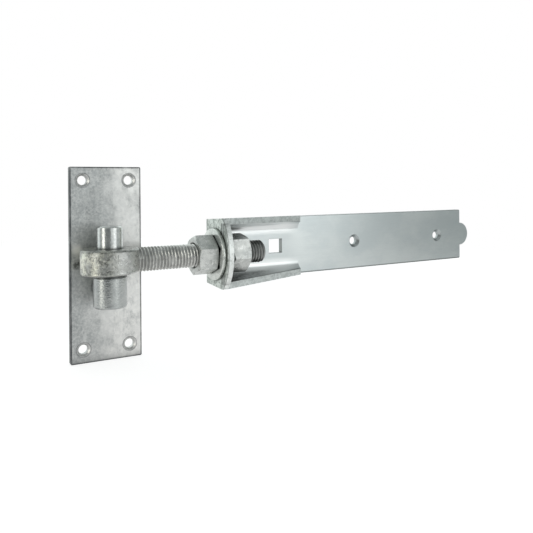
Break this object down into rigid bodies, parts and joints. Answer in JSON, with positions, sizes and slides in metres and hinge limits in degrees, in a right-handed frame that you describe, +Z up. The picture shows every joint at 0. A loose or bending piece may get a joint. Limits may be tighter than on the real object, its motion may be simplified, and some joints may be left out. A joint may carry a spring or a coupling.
{
  "type": "adjustable gate hinge",
  "caption": "Galvanised adjustable gate hinge: screw-down hook plate with an upright pin, threaded eye bolt with clamping nuts and washers, and a flat gate band with a folded end.",
  "frame": {"origin": "centre of the hook plate's back face, where it meets the post", "axes": "+Z up along the pin, +X along the gate band with the gate shut, +Y into the post"},
  "size_m": [0.405, 0.0507, 0.144],
  "materials": {
    "plate_zinc": "dull mottled hot-dip zinc",
    "pin_zinc": "bright turned zinc",
    "bolt_zinc": "rough forged zinc",
    "nut_zinc": "satin zinc",
    "washer_zinc": "satin zinc",
    "band_zinc": "pale smooth zinc"
  },
  "bodies": {
    "hook": {"hook_plate": "plate_zinc", "hook_pin": "pin_zinc"},
    "eye": {"eye_bolt": "bolt_zinc"},
    "gate_band": {"band": "band_zinc", "front_washer": "washer_zinc", "spring_washer": "washer_zinc"},
    "clamp_nut_front": {"front_nut": "nut_zinc"},
    "clamp_nut_rear": {"rear_nut": "nut_zinc"}
  },
  "joints": [
    {"name": "gate_swing", "type": "hinge", "parent": "hook", "child": "eye", "pos_m": [-0.0038, -0.028, 0.0043], "axis": [0, 0, 1], "range_deg": [-180, 10]},
    {"name": "band_adjust", "type": "slide", "parent": "eye", "child": "gate_band", "axis": [1, 0, 0], "range_m": [-0.04, 0.014]},
    {"name": "front_nut_turn", "type": "hinge", "parent": "gate_band", "child": "clamp_nut_front", "pos_m": [0.0597, -0.028, 0.0043], "axis": [1, 0, 0], "range_deg": [-5762, 2018]},
    {"name": "rear_nut_turn", "type": "hinge", "parent": "gate_band", "child": "clamp_nut_rear", "pos_m": [0.0879, -0.028, 0.0043], "axis": [1, 0, 0], "range_deg": [-5762, 2018]}
  ],
  "couplings": [
    {"joint": "front_nut_turn", "follows": "band_adjust", "rad_per_m": 2513.3},
    {"joint": "rear_nut_turn", "follows": "band_adjust", "rad_per_m": 2513.3}
  ]
}
